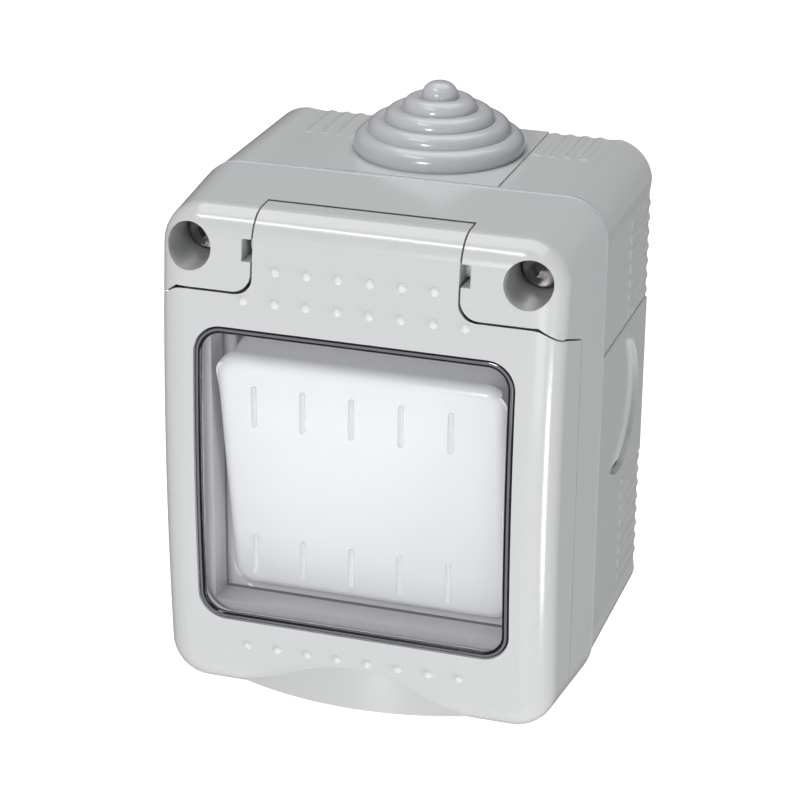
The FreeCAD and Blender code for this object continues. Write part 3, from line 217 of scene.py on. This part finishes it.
def buildRim():
    # A glossy bead round the window, bulging a little in front of the pane.
    build = bmesh.new()
    steps = window["rimSteps"]
    outer = Vector((window["halfWidth"], window["halfHeight"], window["corner"]))
    edges = firstRing(build, outer, lambda across, rise: rimDepth(rise, 0.0))
    bmesh.ops.delete(build, geom=build.faces[:], context="FACES_ONLY")
    shape = outer
    for step in range(1, steps + 1):
        angle = step / steps * math.tau
        inward = window["rimWidth"] / 2 * (1 - math.cos(angle))
        old, shape = shape, outer - Vector((inward, inward, inward))
        edges = growRing(build, edges, old, shape, lambda across, rise: rimDepth(rise, angle))
        # The middle strip gets the paler finish as a painted highlight; the strips either side
        # keep the bead's own dark.
        outward = math.cos((step - 0.5) / steps * math.tau)
        for edge in edges:
            paintedHighlight = window["paintedHighlightFrom"] < outward < window["paintedHighlightTo"]
            edge.link_faces[0].material_index = 1 if paintedHighlight else 0
    bmesh.ops.remove_doubles(build, verts=build.verts, dist=window["rimMerge"])
    for vert in build.verts:
        vert.co = pointAt(vert.co.x, vert.co.z, window["centre"] + vert.co.y)
    turnOutwards(build)
    return build


def paneHalfWidth(rise):
    # Half the width at this distance from the window's middle, with rounded corners.
    radius = window["corner"] - window["rimWidth"] / 2
    halfWidth = window["halfWidth"] - window["rimWidth"] / 2
    past = abs(rise) - (window["halfHeight"] - window["corner"])
    if past <= 0:
        return halfWidth
    return halfWidth - radius + math.sqrt(max(radius * radius - past * past, 0.0))


def buildPane():
    # A thin sheet that follows the crown.
    build = bmesh.new()
    halfHeight = window["halfHeight"] - window["rimWidth"] / 2
    bmesh.ops.create_grid(build, x_segments=window["paneColumns"],
                          y_segments=window["paneRows"], size=1.0)
    for vert in build.verts:
        rise = vert.co.y * halfHeight
        height = window["centre"] + rise
        depth = crownDepth(height, window["inset"] + window["paneThickness"])
        vert.co = pointAt(vert.co.x * paneHalfWidth(rise), depth, height)
    build.normal_update()
    bmesh.ops.solidify(build, geom=build.faces[:], thickness=-window["paneThickness"] * mm)
    turnOutwards(build)
    return build


def buildRibs():
    # Balls pulled into short bars, low in front of the pane and as deep as it behind.
    build = bmesh.new()
    half = rib["width"] / 2
    reach = rib["length"] / 2 - half
    for end in (-1, 1):
        middle = window["centre"] + end * rib["rowOffset"]
        depth = crownDepth(middle, window["inset"])
        for place in rib["places"]:
            made = bmesh.ops.create_uvsphere(build, u_segments=rib["around"],
                                             v_segments=rib["upDown"], radius=1.0)
            for vert in made["verts"]:
                stretch = reach if vert.co.z > 0 else -reach
                swell = rib["rise"] if vert.co.y > 0 else window["paneThickness"]
                vert.co = pointAt(place * rib["pitch"] + vert.co.x * half,
                                  depth + vert.co.y * swell,
                                  middle + vert.co.z * half + stretch)
    turnOutwards(build)
    return build


rim = newPiece("windowRim", buildRim(), "lid", rimDark)
rim.data.materials.append(rimPaintedHighlight)
pane = newPiece("windowPane", buildPane(), "lid", paneClear)
ribs = newPiece("windowRibs", buildRibs(), "lid", ribClearPaintedShade)
rim.visible_shadow = False
ribs.visible_shadow = False
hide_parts("window_membrane")
print("window made")

# White face of the rocker, fitted over its solid
face = {
    "halfWidth": 23.4, "halfHeight": 21.6, "corner": 3.6, "reach": 13.0,
    "edge": 2.0, "edgeSteps": 12, "flat": 0.4, "foot": 4.5, "ledge": 0.05, "sharpFrom": 32.0,
    "pivotDepth": 36.0, "pivotUp": -2.46, "tilt": 10.0,
    "deckReach": 8.85, "deckSlope": 0.1763, "openingHalfWidth": 22.4,
    "solidHalfWidth": 22.32, "solidHalfHeight": 21.02, "solidReach": 11.85,
}


def facePoint(across, along, reach):
    # Across, along and out of the rocker, tipped about its pivot.
    tip = math.radians(face["tilt"])
    depth = face["pivotDepth"] + reach * math.cos(tip) + along * math.sin(tip)
    height = face["pivotUp"] - reach * math.sin(tip) + along * math.cos(tip)
    return pointAt(across, depth, height)


def deckAt(along):
    # As far in as the face can go and clear the deck at both ends of the swing.
    return face["deckReach"] + face["deckSlope"] * abs(along)


def lowestReach(across, along):
    # Only what is wider than the opening can meet the deck.
    return deckAt(along) if abs(across) > face["openingHalfWidth"] else face["foot"]


def skirtReach(across, along):
    # Where the outer wall ends.
    sideEnd = min(deckAt(along), face["reach"] - face["edge"])
    return max(sideEnd, lowestReach(across, along)) - face["ledge"]


def ledgeReach(across, along):
    # The same beside the opening, which is narrower.
    overhang = face["halfWidth"] - face["openingHalfWidth"]
    return skirtReach(abs(across) + overhang, along) - face["ledge"]


def buildFace():
    build = bmesh.new()
    corner, edge, steps = face["corner"], face["edge"], face["edgeSteps"]
    outer = Vector((face["halfWidth"], face["halfHeight"], corner))
    opening = Vector((face["openingHalfWidth"], face["halfHeight"], corner))
    solid = Vector((face["solidHalfWidth"], face["solidHalfHeight"], corner))
    inward = edge + face["flat"]
    shape = outer - Vector((inward, inward, inward))
    edges = firstRing(build, shape, lambda across, along: face["reach"])
    for step in range(steps + 1):
        angle = step / steps * quarterTurn
        inward, below = edge * (1 - math.sin(angle)), edge * (1 - math.cos(angle))
        old, shape = shape, outer - Vector((inward, inward, inward))
        edges = growRing(build, edges, old, shape, lambda across, along: max(
            face["reach"] - below, lowestReach(across, along)))
    # Down the outer wall, in to the opening, down to the foot and up inside to the solid.
    lower = (
        (outer, skirtReach),
        (opening, ledgeReach),
        (opening, lambda across, along: face["foot"]),
        (solid, lambda across, along: face["foot"]),
        (solid, lambda across, along: face["solidReach"]),
    )
    for following, reach in lower:
        old, shape = shape, following
        edges = growRing(build, edges, old, shape, reach)
    bmesh.ops.contextual_create(build, geom=edges)
    for vert in build.verts:
        vert.co = facePoint(*vert.co)
    turnOutwards(build)
    return build


rockerFace = newPiece("rockerFace", buildFace(), "rocker", rockerWhite)
rockerFace.data.set_sharp_from_angle(angle=math.radians(face["sharpFrom"]))
print("rocker face made")

# Raised dots of the lid's own plastic, coloured paler than the lid as a painted highlight, just
# over those of its solid
dots = {
    "radius": 0.79, "sink": 0.25, "pitch": 5.0, "around": 24, "upDown": 16,
    "rows": ((31.8, 6), (26.85, 8), (-31.6, 8)),  # height and count
}


def buildDots():
    build = bmesh.new()
    for height, count in dots["rows"]:
        depth = crownDepth(height) - dots["sink"]
        for place in range(count):
            across = (place - (count - 1) / 2) * dots["pitch"]
            bmesh.ops.create_uvsphere(build, u_segments=dots["around"], v_segments=dots["upDown"],
                                      radius=dots["radius"] * mm,
                                      matrix=Matrix.Translation(pointAt(across, depth, height)))
    return build


newPiece("lidDots", buildDots(), "lid", dotPaintedHighlight)
print("dots made")

# Fill behind the lid's two lower corners, where its hollow runs thin
cornerFill = {
    "across": 29.63, "depth": 51.27, "height": -37.94, "outward": (0.62, 0.42, -0.66),
    "radius": 1.2, "proud": 0.12, "around": 32, "upDown": 24,
}


def buildCornerFill():
    build = bmesh.new()
    sink = cornerFill["radius"] - cornerFill["proud"]
    aside, ahead, rise = cornerFill["outward"]
    for side in (-1, 1):
        place = pointAt(side * (cornerFill["across"] - aside * sink),
                        cornerFill["depth"] - ahead * sink,
                        cornerFill["height"] - rise * sink)
        bmesh.ops.create_uvsphere(build, u_segments=cornerFill["around"],
                                  v_segments=cornerFill["upDown"],
                                  radius=cornerFill["radius"] * mm,
                                  matrix=Matrix.Translation(place))
    return build


newPiece("lidCornerFill", buildCornerFill(), "lid", shellGrey)
print("lid corners filled")

# Housing screws with a six-sided socket, coloured dark as painted shade for their deep wells
screw = {
    "places": ((26.6, 34.3, 43.2), (-26.6, 34.3, 43.2), (25.0, -32.8, 38.0), (-25.0, -32.8, 38.0)),
    "end": 14.0, "shank": 1.9, "head": 3.3, "headHeight": 2.4, "edge": 0.6, "edgeSteps": 6,
    "socket": 1.45, "socketDepth": 1.5, "steps": 48,
}


def socketRadius(angle):
    sixth = math.pi / 3
    return screw["socket"] / math.cos((angle % sixth) - sixth / 2)


def screwProfile(seat):
    # Radius and depth from the tip of the shank to the socket's floor. The socket has no radius.
    top = seat + screw["headHeight"]
    profile = [(screw["shank"], screw["end"]), (screw["shank"], seat), (screw["head"], seat)]
    for step in range(screw["edgeSteps"] + 1):
        angle = step / screw["edgeSteps"] * quarterTurn
        inward = screw["edge"] * (1 - math.cos(angle))
        below = screw["edge"] * (1 - math.sin(angle))
        profile.append((screw["head"] - inward, top - below))
    return profile + [(None, top), (None, top - screw["socketDepth"])]


def buildScrews():
    build = bmesh.new()
    for across, up, seat in screw["places"]:
        made = bmesh.ops.create_circle(build, cap_ends=True, segments=screw["steps"], radius=1.0)
        verts = made["verts"]
        edges = verts[0].link_faces[0].edges[:]
        whole = []
        for radius, depth in screwProfile(seat):
            if whole:
                verts, edges = nextRing(build, edges)
            for vert in verts:
                way = vert.co.xy.normalized()
                reach = radius or socketRadius(math.atan2(way.y, way.x))
                vert.co = (way.x * reach, way.y * reach, depth)
            whole += verts
        bmesh.ops.contextual_create(build, geom=edges)
        for vert in whole:
            vert.co = pointAt(across + vert.co.x, vert.co.z, up + vert.co.y)
    turnOutwards(build)
    return build


screws = newPiece("housingScrews", buildScrews(), "housing", screwPaintedShade, smooth=False)
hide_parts("housing_screws")
print("screws made")

# Stage, camera and light
floorLook = {
    "halfSize": 4.0, "gap": 0.0005, "colour": (0.35, 0.35, 0.35), "roughness": 0.9, "glow": 0.85,
}
view = {
    "place": (122.29, -414.35, 172.42), "lens": 122.82, "sensor": 36.0, "clipStart": 0.01,
    "right": (0.95162, 0.30715, 0.00846), "up": (-0.12614, 0.36539, 0.92227),
}
lightTarget = (0, -0.03, 0)
lights = {  # place, target, size, power
    "keyLight": ((-0.12, -1.30, 0.44), lightTarget, (0.25, 0.25), 7.6),
    "fillLight": ((0.45, -0.70, -0.10), lightTarget, (0.4, 0.3), 0.95),
    "topLight": ((0.0, 0.25, 1.10), lightTarget, (1.2, 1.0), 10.6),
    "sideLight": ((1.20, -0.10, 0.10), lightTarget, (0.8, 0.8), 0.45),
    "stripLight": ((-0.28, -0.42, 0.88), lightTarget, (0.4, 0.1), 1.9),
    "lowLight": ((0.88, -0.33, -0.386), (0, -0.05, 0), (0.22, 0.24), 2.2),
}
studio = {"colour": (1.0, 1.0, 1.0, 1.0), "strength": 0.9}

floorBuild = bmesh.new()
bmesh.ops.create_grid(floorBuild, x_segments=1, y_segments=1, size=floorLook["halfSize"])
bmesh.ops.translate(floorBuild, verts=floorBuild.verts, vec=(0, 0, cadLow.z - floorLook["gap"]))
floorWhite = newMaterial("floorWhite", floorLook["colour"], floorLook["roughness"],
                         Emission_Color=(1.0, 1.0, 1.0, 1.0), Emission_Strength=floorLook["glow"])
floor = newObject("floor", floorBuild, floorWhite)
floor.visible_glossy = False
floor.visible_shadow = False

camera = bpy.data.objects.new("camera", bpy.data.cameras.new("camera"))
bpy.context.scene.collection.objects.link(camera)
right, up = Vector(view["right"]), Vector(view["up"])
turn = Matrix((right, up, right.cross(up))).transposed()
camera.matrix_world = Matrix.Translation(Vector(view["place"]) * mm) @ turn.to_4x4()
camera.data.lens = view["lens"]
camera.data.sensor_width = view["sensor"]
camera.data.clip_start = view["clipStart"]
bpy.context.scene.camera = camera
bpy.context.scene.view_settings.view_transform = "Standard"


def addArea(name, place, target, size, power):
    light = bpy.data.objects.new(name, bpy.data.lights.new(name, "AREA"))
    bpy.context.scene.collection.objects.link(light)
    light.data.shape = "RECTANGLE"
    light.data.size, light.data.size_y = size
    light.data.energy = power
    light.location = place
    light.rotation_mode = "QUATERNION"
    light.rotation_quaternion = (Vector(target) - Vector(place)).to_track_quat("-Z", "Y")


for name, settings in lights.items():
    addArea(name, *settings)

# The pale world is there for the camera, and neither lights the part nor shines in it.
world = bpy.data.worlds.new("studio")
bpy.context.scene.world = world
world.use_nodes = True
background = world.node_tree.nodes["Background"]
background.inputs["Color"].default_value = studio["colour"]
background.inputs["Strength"].default_value = studio["strength"]
world.cycles_visibility.diffuse = False
world.cycles_visibility.glossy = False
print("stage and light set")
